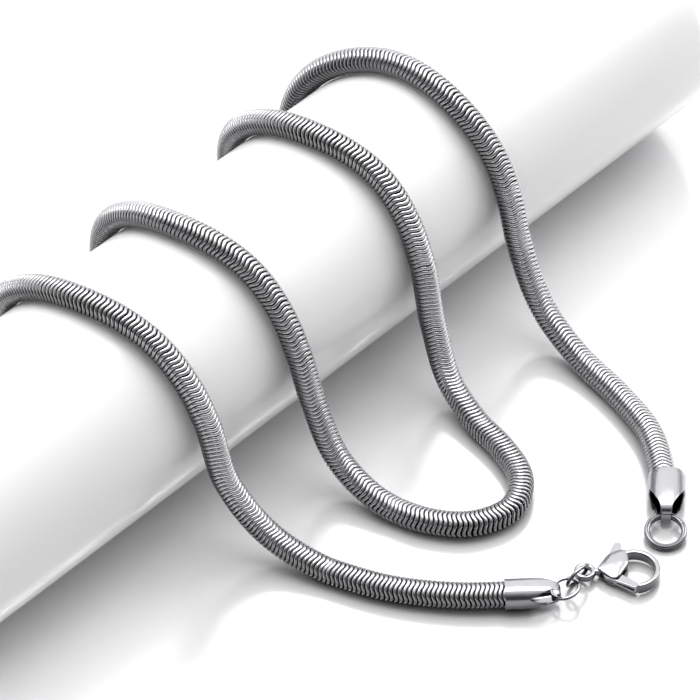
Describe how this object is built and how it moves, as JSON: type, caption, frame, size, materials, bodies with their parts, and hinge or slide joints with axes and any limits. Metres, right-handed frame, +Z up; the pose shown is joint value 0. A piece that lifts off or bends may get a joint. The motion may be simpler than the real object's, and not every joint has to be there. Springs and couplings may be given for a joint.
{
  "type": "snake chain necklace on display roller",
  "caption": "Round steel snake chain with end caps, split ring and lobster clasp, laid in loops over a plain white display roller.",
  "frame": {"origin": "on the table under the middle of the display roller", "axes": "+X along the roller, +Y away from the clasp, behind the roller, +Z up"},
  "size_m": [0.16, 0.0984, 0.0401],
  "materials": {
    "roller": "glossy white acrylic",
    "chain": "polished stainless steel links",
    "fittings": "mirror polished stainless steel"
  },
  "bodies": {
    "necklace": {"display_roller": "roller", "chain_clasp_side": "chain", "chain_ring_side": "chain", "clasp_end_cap": "fittings", "ring_end_cap": "fittings", "end_ring": "fittings", "link_ring_1": "fittings", "link_ring_2": "fittings", "clasp_body": "fittings", "clasp_pin": "fittings"},
    "lever": {"clasp_lever": "fittings"}
  },
  "joints": [
    {"name": "clasp_lever_hinge", "type": "hinge", "parent": "necklace", "child": "lever", "pos_m": [-0.00009, -0.06891, 0.00133], "axis": [0, 0, 1], "range_deg": [0, 22], "stiffness_Nm_per_rad": 0.004, "springref_deg": -5.73}
  ]
}
